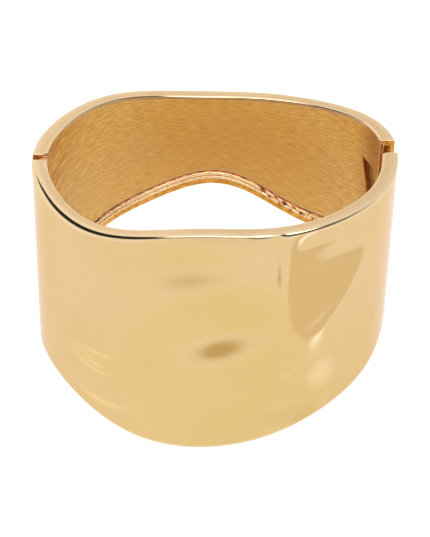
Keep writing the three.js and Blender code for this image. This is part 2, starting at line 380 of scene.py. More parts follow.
def sweep(name, outline, start, end, cut, edge=0.07, edge_steps=3, column_width=0.4):
    """Solid band through wall sections between two (y, near turn, slant, corner) ends. Its
    two end faces have rounded edges and the finishes of the numbers in cut."""
    # The sign is 1 where the turns grow from start to end.
    sign = 1 if end[1] > start[1] else -1
    rings, girth, pitted, mid_turn = band_rings(
        outline, start, end, sign, edge, edge_steps, column_width
    )
    count = outline.shape[1]
    middle = np.stack(section_at(outline, mid_turn), -1)
    spans = np.linalg.norm(np.roll(middle, -1, 0) - middle, axis=1)
    around = np.concatenate([[0], np.cumsum(spans)])
    apart = abs(around[:-1, None] - around[:-1][outline[EDGE] > 0][None, :])
    worn = np.exp(-np.minimum(apart, around[-1] - apart).min(1) / WORN_REACH)
    faces, uv, finishes = [], [], []
    for c in range(len(rings) - 1):
        near, far = girth[c], girth[c + 1]
        for p in range(count):
            here, ahead, q = c * count, (c + 1) * count, (p + 1) % count
            low, high = around[p], around[p + 1]
            faces.append((here + p, ahead + p, ahead + q, here + q))
            uv.append([(near, low), (far, low), (far, high), (near, high)])
            finishes.append(PAINTED_SHADE if pitted[c][p] else int(outline[FINISH, p]))
    last_ring = tuple(range((len(rings) - 1) * count, len(rings) * count))
    faces += [tuple(range(count)), last_ring[::-1]]
    uv.append([(girth[0], place) for place in around[:-1]])
    uv.append([(girth[-1], place) for place in around[-2::-1]])
    finishes += cut
    if sign > 0:
        faces = [face[::-1] for face in faces]
        uv = [places[::-1] for places in uv]
    uv = [place for places in uv for place in places]
    worn = np.tile(worn, len(rings))
    worn[: count * (edge_steps + 1)] = worn[-count * (edge_steps + 1) :] = 1
    return add_mesh(name, np.concatenate(rings), faces, worn, uv, finishes)


def band_outline():
    """A thin skin with a rim plate and a beaded foot, and its hollow side."""
    low, lip, lip_edge = 0.4, 0.32, 0.08
    flat, foot_round = WALL - 0.1, 0.15
    bead_low, bead_high, bead_inset = (1.4, 0.323), (2.22, 0.38), WALL - 0.25
    plate_end = LINER_OUTER - SEAM
    o = Outline()
    o.dented = o.rounded = 1
    o.arc((1, -1), 1, 1, 90, 180, 10)
    o.rounded = 0
    o.line((0, 1, -1.25), (0, 0, low + 0.3), 90)
    o.point(0, 0, low + 0.3)
    o.point(0, 0, low + 0.05)
    o.arc((low, low), 0, low, 180, 270, 7)
    o.dented = 0
    o.line((low + 0.2, 0, 0), (flat - foot_round, 0, 0), 3)
    o.finish, o.pitted = STAIN_AND_SHADE, 1
    o.arc((flat - foot_round, foot_round), 0, foot_round, -90, 0, 4)
    o.line((flat, 0, foot_round + 0.1), (flat, 0, 1.06), 3)
    # The upper side of each bead takes painted shade for the crevice above it: orange on the lower
    # bead, dark red on the upper one.
    for (height, radius), recess in ((bead_low, STAIN_AND_SHADE), (bead_high, PAINTED_SHADE)):
        o.finish = BEADED
        o.arc((bead_inset, height), 0, radius, -64, 40, 7)
        o.finish = recess
        o.arc((bead_inset, height), 0, radius, 48, 66, 3)
    o.point(WALL - 0.2, 0, FOOT_FLANGE - 0.05)
    o.point(WALL - 0.25, 0, FOOT_FLANGE)
    o.finish, o.pitted = HOLLOW, 0
    o.line((WALL - 0.5, 0, FOOT_FLANGE), (SKIN, 0, FOOT_FLANGE), 2)
    o.dented = 1
    o.line((SKIN, 0, FOOT_FLANGE), (SKIN, 1, -RIM_PLATE), 24)
    o.dented = 0
    o.line((SKIN, 1, -RIM_PLATE), (plate_end, 1, -RIM_PLATE), 2)
    o.line((plate_end, 1, -RIM_PLATE), (plate_end, 1, -RIM_LIP), 2)
    o.point(plate_end, 1, -RIM_LIP)
    o.finish = POLISHED
    o.arc((WALL - lip_edge, -RIM_LIP + lip_edge), 1, lip_edge, -90, 0, 3)
    o.arc((WALL - lip, -lip), 1, lip, 0, 90, 6)
    o.line((WALL - lip - 0.08, 1, 0), (1.7, 1, 0), 2)
    o.dented = o.rounded = 1
    o.point(1.1, 1, 0)
    return o.arrays()


# The bands end at a slot with the pin in its middle, and at a wider gap for the clasp.
HINGE_SLOT = 1.7
front_hinge_y = PIN_MIDDLE.y - HINGE_SLOT / 2
back_hinge_y = PIN_MIDDLE.y + HINGE_SLOT / 2
FRONT_CLASP_Y = 1.2
BACK_CLASP_Y = 5.8

front_band = sweep(
    "front_band",
    band_outline(),
    (front_hinge_y, 184),
    (FRONT_CLASP_Y, 362, -0.6, -0.45),
    (PAINTED_SHADE, HOLLOW),
)


def new_group(name, inputs, outputs):
    """Shader node group for an effect that several finishes share. Colours have four numbers
    and all else has one."""
    group = bpy.data.node_groups.new(name, "ShaderNodeTree")
    for in_out, sockets in (("INPUT", inputs), ("OUTPUT", outputs)):
        for label, value in sockets.items():
            kind = "NodeSocketColor" if isinstance(value, tuple) else "NodeSocketFloat"
            socket = group.interface.new_socket(name=label, in_out=in_out, socket_type=kind)
            socket.default_value = value
    given = group.nodes.new("NodeGroupInput").outputs
    return group, given, group.nodes.new("NodeGroupOutput").inputs


def add_node(tree, kind, settings=None, **inputs):
    """Node with its inputs set or linked by name: _0 is the first, and _ is a space."""
    made = tree.nodes.new(kind)
    for name, value in (settings or {}).items():
        setattr(made, name, value)
    for name, value in inputs.items():
        socket = made.inputs[int(name[1:]) if name[1:].isdigit() else name.replace("_", " ")]
        if isinstance(value, bpy.types.NodeSocket):
            tree.links.new(value, socket)
        else:
            socket.default_value = value
    return made


def ramp(tree, value, low, high, to_low=0.0, to_high=1.0):
    """Smooth change from one number to another as a value rises from low to high."""
    smooth = {"interpolation_type": "SMOOTHSTEP"}
    ends = {"From_Min": low, "From_Max": high, "To_Min": to_low, "To_Max": to_high}
    return add_node(tree, "ShaderNodeMapRange", smooth, Value=value, **ends).outputs["Result"]


def maths(tree, operation, first, second):
    settings = {"operation": operation}
    return add_node(tree, "ShaderNodeMath", settings, _0=first, _1=second).outputs[0]


def vector_maths(tree, operation, **inputs):
    return add_node(tree, "ShaderNodeVectorMath", {"operation": operation}, **inputs).outputs


def place_in_mm(tree):
    place = add_node(tree, "ShaderNodeTexCoord").outputs["Object"]
    return vector_maths(tree, "SCALE", _0=place, Scale=1 / MM)[0]


def noise(tree, place, scale, detail):
    return add_node(tree, "ShaderNodeTexNoise", Vector=place, Scale=scale, Detail=detail).outputs


def blend(tree, share, first, second, kind="MIX"):
    """Colour between two, or the first one dyed by the second when the kind is MULTIPLY."""
    settings = {"data_type": "RGBA", "blend_type": kind}
    made = add_node(tree, "ShaderNodeMix", settings, _0=share)
    for socket, value in ((made.inputs[6], first), (made.inputs[7], second)):
        if isinstance(value, bpy.types.NodeSocket):
            tree.links.new(value, socket)
        else:
            socket.default_value = (*value, 1)
    return made.outputs[2]


# Plating tone: gold plate differs in thickness from place to place.
plating_tone, given, result = new_group(
    "plating_tone",
    {
        "Pale": (1, 1, 1, 1),
        "Deep": (0, 0, 0, 1),
        "Patches per mm": 0.1,
        "Grain per mm": 3.0,
        "Grain share": 0.2,
    },
    {"Color": (1, 1, 1, 1), "Patches": 0.0},
)
in_mm = place_in_mm(plating_tone)
patches = noise(plating_tone, in_mm, given["Patches per mm"], 3.0)[0]
grain = noise(plating_tone, in_mm, given["Grain per mm"], 2.0)[0]
grain = maths(plating_tone, "SUBTRACT", grain, 0.5)
grain = maths(plating_tone, "MULTIPLY", grain, given["Grain share"])
share = maths(plating_tone, "ADD", ramp(plating_tone, patches, 0.35, 0.65), grain)
toned = blend(plating_tone, share, given["Pale"], given["Deep"])
plating_tone.links.new(toned, result["Color"])
plating_tone.links.new(patches, result["Patches"])

# Strokes: lines left along the girth by a buffing wheel or a brush.
strokes, given, result = new_group(
    "strokes",
    {"Lines per mm": 3.0, "Line length": 3.0, "Sway": 0.3, "Sharpness": 0.2},
    {"Height": 0.0, "Lines": 0.0},
)
wall_mm = add_node(strokes, "ShaderNodeUVMap", {"uv_map": "wall_mm"}).outputs[0]
wander = noise(strokes, wall_mm, 0.35, 2.0)["Color"]
offset = vector_maths(strokes, "SCALE", _0=wander, Scale=given["Sway"])[0]
swayed = vector_maths(strokes, "ADD", _0=wall_mm, _1=offset)[0]
split = add_node(strokes, "ShaderNodeSeparateXYZ", Vector=swayed).outputs
lengthwise = maths(strokes, "DIVIDE", split["X"], given["Line length"])
crosswise = maths(strokes, "MULTIPLY", split["Y"], given["Lines per mm"])
stretched = add_node(strokes, "ShaderNodeCombineXYZ", X=lengthwise, Y=crosswise).outputs[0]
lines = noise(strokes, stretched, 1.0, 3.0)[0]
strokes.links.new(lines, result["Height"])
low = maths(strokes, "SUBTRACT", 0.5, given["Sharpness"])
high = maths(strokes, "ADD", 0.5, given["Sharpness"])
strokes.links.new(ramp(strokes, lines, low, high), result["Lines"])

# Edge wear and sheen: rubbed edges, where the plate is thin and pale, in broken patches. On the
# polished gold and the beads the paleness is also a painted highlight.
edge_wear_and_sheen, given, result = new_group(
    "edge_wear_and_sheen", {"Reach": 0.5, "Breaks per mm": 1.5}, {"Wear and sheen": 0.0}
)
near_edge = add_node(edge_wear_and_sheen, "ShaderNodeAttribute", {"attribute_name": "worn"}).outputs["Fac"]
breaks = noise(edge_wear_and_sheen, place_in_mm(edge_wear_and_sheen), given["Breaks per mm"], 2.0)[0]
broken = maths(edge_wear_and_sheen, "MULTIPLY", near_edge, maths(edge_wear_and_sheen, "ADD", breaks, given["Reach"]))
edge_wear_and_sheen.links.new(ramp(edge_wear_and_sheen, broken, 0.15, 1.1), result["Wear and sheen"])


def use_group(tree, group, **inputs):
    made = tree.nodes.new("ShaderNodeGroup")
    made.node_tree = group
    for name, value in inputs.items():
        made.inputs[name.replace("_", " ")].default_value = value
    return made.outputs


def plated_metal(name, metallic, **plate):
    """Metal with the tone of its plate, still to be finished."""
    material = bpy.data.materials.new(name)
    material.use_nodes = True
    tree = material.node_tree
    shader = tree.nodes["Principled BSDF"]
    shader.inputs["Metallic"].default_value = metallic
    return material, tree, shader, use_group(tree, plating_tone, **plate)


def finish_metal(tree, shader, colour, roughness, height, height_mm):
    """Link a metal's colour and roughness, and the height of what stands up from it."""
    raised = add_node(tree, "ShaderNodeBump", Height=height, Distance=height_mm * MM)
    tree.links.new(colour, shader.inputs["Base Color"])
    tree.links.new(roughness, shader.inputs["Roughness"])
    tree.links.new(raised.outputs[0], shader.inputs["Normal"])


def unpolished_metal(name, metallic, rough, grit_mm, worn=None, **plate):
    """Gold that no wheel has touched. Its patches of plate are also rougher and raised."""
    material, tree, shader, tone = plated_metal(name, metallic, **plate)
    colour = tone["Color"]
    if worn:
        wear_and_sheen = use_group(tree, edge_wear_and_sheen, Reach=0.4, Breaks_per_mm=2.0)
        colour = blend(tree, wear_and_sheen["Wear and sheen"], colour, worn)
    roughness = ramp(tree, tone["Patches"], 0.3, 0.7, *rough)
    finish_metal(tree, shader, colour, roughness, tone["Patches"], grit_mm)
    return material


# Polished gold: nearly a mirror, with faint buffing lines and paler edges: rubbed wear, and a
# painted highlight on the rounded edges of the rim.
polished_gold, tree, shader, tone = plated_metal(
    "polished_gold",
    metallic=1.0,
    Pale=(0.765, 0.55, 0.275, 1),
    Deep=(0.75, 0.53, 0.245, 1),
    Patches_per_mm=0.05,
    Grain_per_mm=1.2,
    Grain_share=0.6,
)
shader.inputs["Specular Tint"].default_value = (0.98, 0.87, 0.77, 1)
buffing = use_group(tree, strokes, Lines_per_mm=2.2, Line_length=9.0, Sway=0.6, Sharpness=0.25)
wear_and_sheen = use_group(tree, edge_wear_and_sheen, Reach=0.5, Breaks_per_mm=0.8)
line_share = maths(tree, "MULTIPLY", buffing["Lines"], 0.08)
lined = blend(tree, line_share, tone["Color"], (0.84, 0.64, 0.40))
# The rim's flat, where it faces up, is painted paler and pinker with lengthwise lines: a painted
# highlight for the bright light it mirrors.
facing = add_node(tree, "ShaderNodeTexCoord").outputs["Normal"]
upward = vector_maths(tree, "DOT_PRODUCT", _0=facing, _1=own_axis)["Value"]
rim_lines = use_group(tree, strokes, Lines_per_mm=3.5, Line_length=5.0, Sway=0.2, Sharpness=0.2)
rim_highlight = blend(tree, rim_lines["Lines"], (0.70, 0.48, 0.25), (0.77, 0.56, 0.33))
lined = blend(tree, ramp(tree, upward, 0.55, 0.95), lined, rim_highlight)
# Paler rounded edges: rubbed wear, and a painted highlight.
colour = blend(tree, wear_and_sheen["Wear and sheen"], lined, (0.84, 0.64, 0.38))
roughness = ramp(tree, buffing["Lines"], 0, 1, 0.05, 0.09)
roughness = maths(tree, "ADD", roughness, maths(tree, "MULTIPLY", wear_and_sheen["Wear and sheen"], 0.06))
finish_metal(tree, shader, colour, roughness, buffing["Height"], 0.0012)

# Beaded gold: the foot's beads, cast rough and only brushed over.
beaded_gold, tree, shader, tone = plated_metal(
    "beaded_gold",
    metallic=0.72,
    Pale=(0.92, 0.62, 0.27, 1),
    Deep=(0.80, 0.45, 0.14, 1),
    Patches_per_mm=0.5,
    Grain_per_mm=4.0,
    Grain_share=1.2,
)
wear_and_sheen = use_group(tree, edge_wear_and_sheen, Reach=0.7, Breaks_per_mm=2.5)
# The crests are paler: rubbed wear, and a painted highlight.
colour = blend(tree, wear_and_sheen["Wear and sheen"], tone["Color"], (0.94, 0.75, 0.48))
cast = use_group(tree, strokes, Lines_per_mm=1.6, Line_length=0.9, Sway=1.0, Sharpness=0.3)
roughness = ramp(tree, cast["Lines"], 0, 1, 0.24, 0.38)
finish_metal(tree, shader, colour, roughness, cast["Height"], 0.07)

# Stained gold: orange where no wheel reached, on the foot's inner band and the clasp's cut end; in
# the crevice over the lower bead the same orange is painted shade.
stain_and_shade_gold = unpolished_metal(
    "stain_and_shade_gold",
    metallic=0.9,
    rough=(0.36, 0.5),
    grit_mm=0.02,
    Pale=(0.84, 0.45, 0.09, 1),
    Deep=(0.66, 0.31, 0.05, 1),
    Patches_per_mm=1.0,
    Grain_per_mm=5.0,
    Grain_share=0.6,
)

# Hollow gold: the inside of the skin, plated over the bare rolled sheet.
hollow_gold, tree, shader, tone = plated_metal(
    "hollow_gold",
    metallic=0.0,
    Pale=(0.98, 0.66, 0.24, 1),
    Deep=(0.90, 0.50, 0.14, 1),
    Patches_per_mm=0.3,
    Grain_per_mm=2.2,
    Grain_share=0.8,
)
dull = use_group(tree, strokes, Lines_per_mm=1.5, Line_length=2.0, Sway=0.5, Sharpness=0.3)
roughness = ramp(tree, dull["Lines"], 0, 1, 0.22, 0.34)
finish_metal(tree, shader, tone["Color"], roughness, dull["Height"], 0.02)

# Painted shade gold: a dark red painted on the bands' hinge-end faces, the liners' cut sides, the
# crevice over the upper bead and the deepest pits, where shade falls.
painted_shade_gold = unpolished_metal(
    "painted_shade_gold",
    metallic=0.85,
    rough=(0.38, 0.55),
    grit_mm=0.03,
    Pale=(0.52, 0.20, 0.045, 1),
    Deep=(0.28, 0.07, 0.02, 1),
    Patches_per_mm=0.8,
    Grain_per_mm=5.0,
    Grain_share=0.8,
)


def finish_piece(piece, body, node, slot, *metals):
    for metal in metals:
        piece.data.materials.append(metal)
    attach(piece, body)
    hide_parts(node)


band_metals = (polished_gold, beaded_gold, hollow_gold, painted_shade_gold, stain_and_shade_gold)
finish_piece(front_band, "front_half", "front_shell", "polished_gold", *band_metals)

# ---- back band
# The low arched back half, pressed and polished in the same way. Its clasp end is open for
# the tongue, and its hinge end has the corner by the wrist cut off.
back_band = sweep(
    "back_band",
    band_outline(),
    (BACK_CLASP_Y, 10),
    (back_hinge_y, 181, 0.9),
    (STAIN_AND_SHADE, PAINTED_SHADE),
    column_width=0.3,
)
finish_piece(back_band, "back_half", "back_shell", "polished_gold", *band_metals)

# ---- end walls
# Small brass plates soldered just inside the ends of the hollow halves: both ends of the
# front half and the hinge end of the back one.
END_WALL = 0.8
END_RECESS = 0.05
HEAT_STAIN_AND_SHADE = 0


def end_wall_outline():
    outer, inner, top, low = SKIN - 0.1, LINER_INNER, -0.25, 0.4
    o = Outline()
    o.line((outer, 1, top), (outer, 0, low), 12)
    o.line((outer, 0, low), (inner, 0, low), 3)
    o.line((inner, 0, low), (inner, 1, top), 12)
    o.line((inner, 1, top), (outer, 1, top), 3)
    rows = o.arrays()
    # Wear spreads from one corner only.
    rows[EDGE, 0] = 1
    return rows


# Soldered gold: heat-stained and filed, and never polished. Its darker red is also painted shade
# for the end walls seen down in the hinge slot.
heat_stain_and_shade_gold = unpolished_metal(
    "heat_stain_and_shade_gold",
    metallic=0.8,
    rough=(0.42, 0.56),
    grit_mm=0.06,
    worn=(0.80, 0.46, 0.18),
    Pale=(0.85, 0.46, 0.16, 1),
    Deep=(0.55, 0.20, 0.06, 1),
    Patches_per_mm=0.6,
    Grain_per_mm=4.0,
    Grain_share=1.0,
)


def finish_heat_stain_and_shade(piece, half):
    finish_piece(piece, half + "_half", half + "_shell", "polished_gold", heat_stain_and_shade_gold)


def add_end_wall(name, half, side, end_y, near):
    """Plate inside a band's end at end_y. Its metal lies to that side along y."""
    faces_y = sorted((end_y + side * END_RECESS, end_y + side * END_WALL))
    if math.cos(math.radians(near)) < 0:
        faces_y.reverse()
    # The near turns differ only to give the sweep its direction.
    start, end = (faces_y[0], near - 0.01), (faces_y[1], near + 0.01)
    cut = (HEAT_STAIN_AND_SHADE, HEAT_STAIN_AND_SHADE)
    wall = sweep(name, end_wall_outline(), start, end, cut, edge=0.03, edge_steps=1)
    finish_heat_stain_and_shade(wall, half)
    return wall


add_end_wall("front_hinge_wall", "front", -1, front_hinge_y, 184)
front_clasp_wall = add_end_wall("front_clasp_wall", "front", -1, FRONT_CLASP_Y, 362)
add_end_wall("back_hinge_wall", "back", 1, back_hinge_y, 181)

# ---- hinge knuckles
# Five short brass barrels round one pin, three on the front half. Each is soldered to its
# half by a web, and its edges are broken with a file.
KNUCKLE_RADIUS = 0.8
BORE_RADIUS = 0.53
KNUCKLE_COUNT = 5
KNUCKLE_SIDES = 40
KNUCKLE_TOP = -0.5
KNUCKLE_BOTTOM = -33.4
KNUCKLE_GAP = 0.3
WEB_WIDTH = 1.0
BORE_BREAK = 0.05
FILED_EDGE = (
    # rise from the barrel's end, inset from its side
    (0, 0.08),
    (0.03, 0.03),
    (0.1, 0),
    (0.4, 0),
)


def ring_faces(rings, closed):
    """Faces between loops of points, with the last joined to the first if closed."""
    count = len(rings[0])
    faces = []
    for r in range(len(rings) if closed else len(rings) - 1):
        below, above = r * count, (r + 1) % len(rings) * count
        for p in range(count):
            q = (p + 1) % count
            faces.append((below + p, below + q, above + q, above + p))
    return faces


def knuckle_loop(side, height, inset=0, bore=0):
    """Outline of a barrel with its web, or of its bore, at one height."""
    web_end = HINGE_SLOT / 2 + END_WALL / 2
    corner = math.atan2(web_end, WEB_WIDTH / 2)
    root = math.atan2(math.sqrt(KNUCKLE_RADIUS**2 - WEB_WIDTH**2 / 4), WEB_WIDTH / 2)
    angles = set(np.linspace(0, 2 * math.pi, KNUCKLE_SIDES, endpoint=False).round(6))
    angles |= {corner, math.pi - corner, root, math.pi - root}
    loop = []
    for angle in sorted(angles):
        x, y = math.cos(angle), math.sin(angle)
        radius = KNUCKLE_RADIUS
        if y > 0:
            radius = max(radius, min(WEB_WIDTH / 2 / max(abs(x), 1e-6), web_end / y))
        radius = bore if bore else radius - inset
        loop.append((PIN_MIDDLE.x + side * radius * x, PIN_MIDDLE.y + side * radius * y, height))
    return np.array(loop)


pitch = (KNUCKLE_TOP - KNUCKLE_BOTTOM + KNUCKLE_GAP) / KNUCKLE_COUNT
for number in range(KNUCKLE_COUNT):
    half, side = (("front", -1), ("back", 1))[number % 2]
    top = KNUCKLE_TOP - number * pitch
    bottom = top - pitch + KNUCKLE_GAP
    rings = [knuckle_loop(side, bottom + rise, inset) for rise, inset in FILED_EDGE]
    rings += [knuckle_loop(side, top - rise, inset) for rise, inset in reversed(FILED_EDGE)]
    rings += [
        knuckle_loop(side, top, bore=BORE_RADIUS + BORE_BREAK),
        knuckle_loop(side, top - BORE_BREAK, bore=BORE_RADIUS),
        knuckle_loop(side, bottom + BORE_BREAK, bore=BORE_RADIUS),
        knuckle_loop(side, bottom, bore=BORE_RADIUS + BORE_BREAK),
    ]
    # The rings of its filed ends rub bare.
    filed = (0, 1, 2, 5, 6, 7, 8)
    worn = [1.0 if r in filed else 0.3 for r in range(len(rings)) for _ in rings[0]]
    name = f"{half}_knuckle_{number + 1}"
    knuckle = add_mesh(name, np.concatenate(rings), ring_faces(rings, closed=True), worn)
    finish_heat_stain_and_shade(knuckle, half)

# ---- hinge pin
# A brass wire through the knuckles, plated with the rest. It is filed to a low dome just
# above them at each end, where it rubs bare.
PIN_SIDES = 32
PIN_PROFILE = (
    # radius, height over the upper end or under the lower end
    (0.50, -0.30),
    (0.50, -0.06),
    (0.50, 0.00),
    (0.46, 0.04),
    (0.28, 0.07),
    (0.10, 0.08),
)


def pin_loop(radius, height):
    angles = np.linspace(0, 2 * math.pi, PIN_SIDES, endpoint=False)
    x = PIN_MIDDLE.x + radius * np.cos(angles)
    y = PIN_MIDDLE.y + radius * np.sin(angles)
    return np.stack([x, y, np.full(PIN_SIDES, height)], -1)


pin_rings = [pin_loop(radius, KNUCKLE_BOTTOM - rise) for radius, rise in reversed(PIN_PROFILE)]
pin_rings += [pin_loop(radius, KNUCKLE_TOP + rise) for radius, rise in PIN_PROFILE]
pin_points = np.concatenate(pin_rings)
pin_faces = ring_faces(pin_rings, closed=False)
pin_faces.append(tuple(reversed(range(PIN_SIDES))))
pin_faces.append(tuple(range(len(pin_points) - PIN_SIDES, len(pin_points))))
pin_worn = [0.1 if KNUCKLE_BOTTOM < height < KNUCKLE_TOP else 1.0 for height in pin_points[:, 2]]
pin = add_mesh("hinge_wire", pin_points, pin_faces, pin_worn)

# Pin gold: drawn wire, rubbed by the knuckles.
pin_gold = unpolished_metal(
    "pin_gold",
    metallic=1.0,
    rough=(0.38, 0.52),
    grit_mm=0.01,
    worn=(0.74, 0.48, 0.22),
    Pale=(0.72, 0.45, 0.18, 1),
    Deep=(0.52, 0.28, 0.10, 1),
    Patches_per_mm=0.4,
    Grain_per_mm=5.0,
    Grain_share=0.8,
)
finish_piece(pin, "back_half", "hinge_pin", "pin_gold", pin_gold)

# ---- liners
# Thin brass plates brushed along the girth and set between rim and foot on the wrist side.
# The back one has a three-cornered window, where a fingertip finds the clasp's tongue.
LINER_DROP = 0.16
LINER_ROUNDING = 0.15
# The finishes of a liner's faces, in the order of its materials.
BRUSHED, LINER_BACK, LINER_CUT = 0, 1, 2


def liner_outline():
    top, low = -RIM_LIP - LINER_DROP - LINER_ROUNDING, FOOT_FLANGE + SEAM + LINER_ROUNDING
    outer, inner = LINER_OUTER + LINER_ROUNDING, LINER_INNER - LINER_ROUNDING
    o = Outline()
    o.finish = LINER_BACK
    o.arc((outer, top), 1, LINER_ROUNDING, 90, 180, 3)
    o.line((LINER_OUTER, 1, top - 0.1), (LINER_OUTER, 0, low + 0.1), 20)
    o.finish = BRUSHED
    o.arc((outer, low), 0, LINER_ROUNDING, 180, 270, 3)
    o.arc((inner, low), 0, LINER_ROUNDING, -90, 0, 3)
    o.line((LINER_INNER, 0, low + 0.05), (LINER_INNER, 1, top - 0.05), 50)
    o.point(LINER_INNER, 1, top - 0.05)
    o.arc((inner, top), 1, LINER_ROUNDING, 0, 90, 3)
    return o.arrays()


front_liner = sweep(
    "front_lining",
    liner_outline(),
    (front_hinge_y - END_WALL - SEAM, 185),
    (FRONT_CLASP_Y - END_WALL - SEAM, 360),
    (LINER_CUT, LINER_CUT),
)
back_liner = sweep(
    "back_lining",
    liner_outline(),
    (BACK_CLASP_Y, 10),
    (back_hinge_y + END_WALL + SEAM, 179),
    (LINER_CUT, LINER_CUT),
)

# Brushed gold: plate over a brushed brass sheet, with the strokes along the girth.
brushed_gold, tree, shader, tone = plated_metal(
    "brushed_gold",
    metallic=0.85,
    Pale=(0.99, 0.71, 0.24, 1),
    Deep=(0.97, 0.66, 0.18, 1),
    Patches_per_mm=0.12,
    Grain_per_mm=2.5,
    Grain_share=0.8,
)
brush = use_group(tree, strokes, Lines_per_mm=5.5, Line_length=2.4, Sway=0.25, Sharpness=0.15)
wear_and_sheen = use_group(tree, edge_wear_and_sheen, Reach=0.3, Breaks_per_mm=2.0)
place = add_node(tree, "ShaderNodeTexCoord").outputs["Object"]
place = add_node(tree, "ShaderNodeSeparateXYZ", Vector=place).outputs
# Toward the foot the colour is painted darker and more orange: painted shade that tones down the
# floor's bright reflection there.
foot_shade = ramp(tree, place["Z"], 0.010, 0.030, 0.9, 0.0)
brushed = blend(tree, foot_shade, tone["Color"], (0.75, 0.45, 0.14))
grooves = maths(tree, "MULTIPLY", brush["Lines"], 0.5)
brushed = blend(tree, grooves, brushed, (0.58, 0.30, 0.08))
# Longer scratches run in from the hinge.
scratches = use_group(tree, strokes, Lines_per_mm=2.6, Line_length=12.0, Sway=0.8, Sharpness=0.1)
by_hinge = ramp(tree, place["X"], -0.031, -0.023, 0.6, 0.0)
by_hinge = maths(tree, "MULTIPLY", scratches["Lines"], by_hinge)
brushed = blend(tree, by_hinge, brushed, (0.50, 0.25, 0.09))
# Toward the clasp end the strokes are painted brown: painted shade where the liner turns in toward
# the dark end.
clasp_end_shade = ramp(tree, place["X"], 0.0262, 0.0295, 0.0, 0.75)
clasp_end_shade = maths(tree, "MULTIPLY", clasp_end_shade, ramp(tree, brush["Lines"], 0, 1, 0.7, 1.0))
brushed = blend(tree, clasp_end_shade, brushed, (0.46, 0.21, 0.07))
colour = blend(tree, wear_and_sheen["Wear and sheen"], brushed, (0.90, 0.70, 0.44))
roughness = ramp(tree, brush["Lines"], 0, 1, 0.4, 0.52)
finish_metal(tree, shader, colour, roughness, brush["Height"], 0.015)

liner_metals = (brushed_gold, hollow_gold, painted_shade_gold)
finish_piece(front_liner, "front_half", "front_liner", "brushed_gold", *liner_metals)
finish_piece(back_liner, "back_half", "back_liner", "brushed_gold", *liner_metals)


def cut_with(piece, corners, faces, finishes):
    """Cut a hole in a piece with a solid in own-frame millimetres. Its sides take the
    finishes of its faces."""
    cutter = add_mesh("cutter", corners, faces, [1] * len(corners), finishes=finishes)
    for material in piece.data.materials:
        cutter.data.materials.append(material)
    change = piece.modifiers.new("hole", "BOOLEAN")
    change.operation = "DIFFERENCE"
    change.solver = "EXACT"
    change.object = cutter
    bpy.context.view_layer.update()
    result = piece.evaluated_get(bpy.context.evaluated_depsgraph_get())
    mesh = bpy.data.meshes.new_from_object(result)
    piece.modifiers.clear()
    old = piece.data
    mesh.name = old.name + "_cut"
    piece.data = mesh
    bpy.data.meshes.remove(old)
    bpy.data.objects.remove(cutter)


# The window's cutter is a wedge through the liner, raised on the wrist side where its upper
# edge is filed to a bevel. The cut sides take the dark red of painted shade.
WINDOW_EDGE = (
    # turn, drop, filed: the last is 1 for a corner of the filed upper edge
    (26.2, 6.22, 1),
    (19.5, 14.5, 0),
    (10.1, 7.07, 1),
    (13.3, 6.90, 1),
    (16.6, 6.72, 1),
    (22.0, 6.44, 1),
)
BEVEL_DEPTH = 0.15
BEVEL_HEIGHT = 0.3
WEDGE_RINGS = (
    # inset, how far its filed corners are raised
    (LINER_OUTER - 0.4, 0),
    (LINER_INNER - BEVEL_DEPTH, 0),
    (LINER_INNER, BEVEL_HEIGHT),
    (LINER_INNER + 0.85, BEVEL_HEIGHT),
)
wedge = []
for inset, filed_up in WEDGE_RINGS:
    for turn, drop, filed in WINDOW_EDGE:
        height = filed * filed_up - drop
        wedge.append(tuple(wall_point(np.array(turn), np.array(inset), np.array(height))))
edge_count = len(WINDOW_EDGE)
wedge_faces = [tuple(reversed(range(edge_count))), tuple(range(3 * edge_count, 4 * edge_count))]
wedge_finishes = [LINER_CUT, LINER_CUT]
for ring in (0, edge_count, 2 * edge_count):
    for a in range(edge_count):
        b = (a + 1) % edge_count
        corners = (ring + a, ring + b, ring + b + edge_count, ring + a + edge_count)
        wedge_faces += [corners[:3], (corners[0], corners[2], corners[3])]
        filed = ring and WINDOW_EDGE[a][2] and WINDOW_EDGE[b][2]
        wedge_finishes += [BRUSHED if filed else LINER_CUT] * 2
cut_with(back_liner, wedge, wedge_faces, wedge_finishes)

# ---- clasp tongue
# A springy brass strip bent on an arc round the hinge pin. Its wide root is soldered behind
# the front half's end wall, and its rounded tip slides behind the back liner.
TONGUE_RADIUS = 61.75
TONGUE_THICKNESS = 0.45
TONGUE_TOP = -6.0
TONGUE_BOTTOM = -16.4
TONGUE_TIP = 9.4
ROOT_START = -0.7
ROOT_END = 0.1
ROOT_SHOULDER = 1.5
TIP_CORNER = 2.0
TONGUE_BREAK = 0.07
BEND_CUTS = 9
BEND_MARGIN = 0.4
TIP_STEPS = 6


def bend_to_arc(along, height, depth):
    """Own-frame place on the tongue: along the arc as y at its middle, and out from it."""
    angle = np.arcsin((along - PIN_MIDDLE.y) / TONGUE_RADIUS)
    radius = TONGUE_RADIUS + depth
    x = PIN_MIDDLE.x + radius * np.cos(angle)
    return np.stack([x, PIN_MIDDLE.y + radius * np.sin(angle), height], -1)


